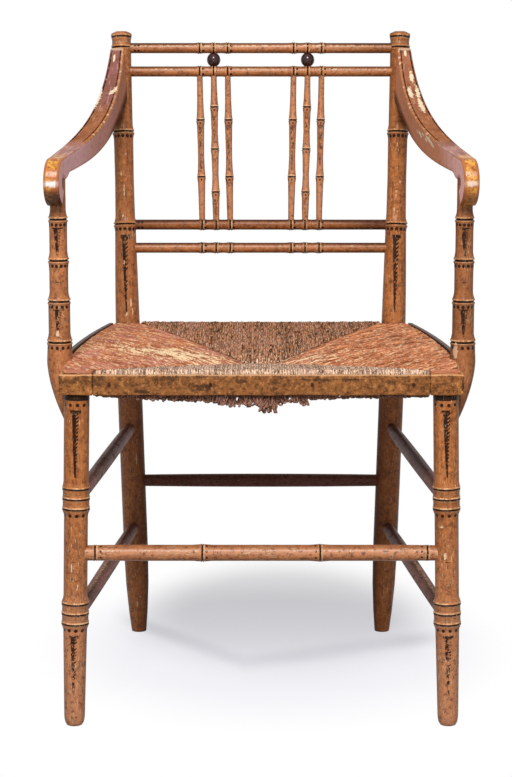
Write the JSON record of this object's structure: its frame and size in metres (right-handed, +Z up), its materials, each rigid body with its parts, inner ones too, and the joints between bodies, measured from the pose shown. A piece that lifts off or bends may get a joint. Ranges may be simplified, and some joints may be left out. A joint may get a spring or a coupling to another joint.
{
  "type": "faux bamboo armchair",
  "caption": "Open armchair with bamboo-turned posts, legs and spindle back, sawn arms that roll over at the front, and a rush seat edged with painted strips.",
  "frame": {"origin": "on the floor, under the middle of the chair's bounding box", "axes": "+Z up, the sitter faces -Y, and +X is on the right of someone who stands in front of the chair"},
  "size_m": [0.529, 0.4937, 0.86],
  "materials": {
    "ochre_paint": "worn ochre paint under varnish, satin",
    "brown_paint": "worn brown paint, satin",
    "dark_bead_paint": "near-black gloss paint",
    "bare_wood": "unpainted wood",
    "rush": "twisted rush, dry and matt",
    "iron": "dull iron"
  },
  "bodies": {
    "root": {"back_post_left": "ochre_paint", "back_post_right": "ochre_paint", "front_leg_left": "ochre_paint", "front_leg_right": "ochre_paint", "corner_block_left": "ochre_paint", "corner_block_right": "ochre_paint", "front_seat_rail": "bare_wood", "back_seat_rail": "bare_wood", "left_seat_rail": "bare_wood", "right_seat_rail": "bare_wood", "rush_seat": "rush", "front_edge_strip": "ochre_paint", "left_edge_strip": "ochre_paint", "right_edge_strip": "ochre_paint", "arm_support_left": "ochre_paint", "arm_support_right": "ochre_paint", "arm_left": "ochre_paint", "arm_right": "ochre_paint", "crest_rail": "ochre_paint", "second_back_rail": "ochre_paint", "third_back_rail": "ochre_paint", "fourth_back_rail": "ochre_paint", "spindle_left_inner": "ochre_paint", "spindle_left_centre": "ochre_paint", "spindle_left_outer": "ochre_paint", "spindle_right_inner": "ochre_paint", "spindle_right_centre": "ochre_paint", "spindle_right_outer": "ochre_paint", "bead_left": "dark_bead_paint", "bead_right": "dark_bead_paint", "front_stretcher": "ochre_paint", "back_stretcher": "brown_paint", "left_upper_stretcher": "brown_paint", "left_lower_stretcher": "brown_paint", "right_upper_stretcher": "brown_paint", "right_lower_stretcher": "brown_paint", "arm_peg_left": "bare_wood", "arm_peg_right": "bare_wood", "arm_screw_left": "iron", "arm_screw_right": "iron", "scarf_screw_left": "iron", "scarf_screw_right": "iron", "front_strip_nail_1": "iron", "front_strip_nail_2": "iron", "front_strip_nail_3": "iron", "front_strip_nail_4": "iron", "left_strip_nail_1": "iron", "left_strip_nail_2": "iron", "right_strip_nail_1": "iron", "right_strip_nail_2": "iron"}
  },
  "joints": []
}
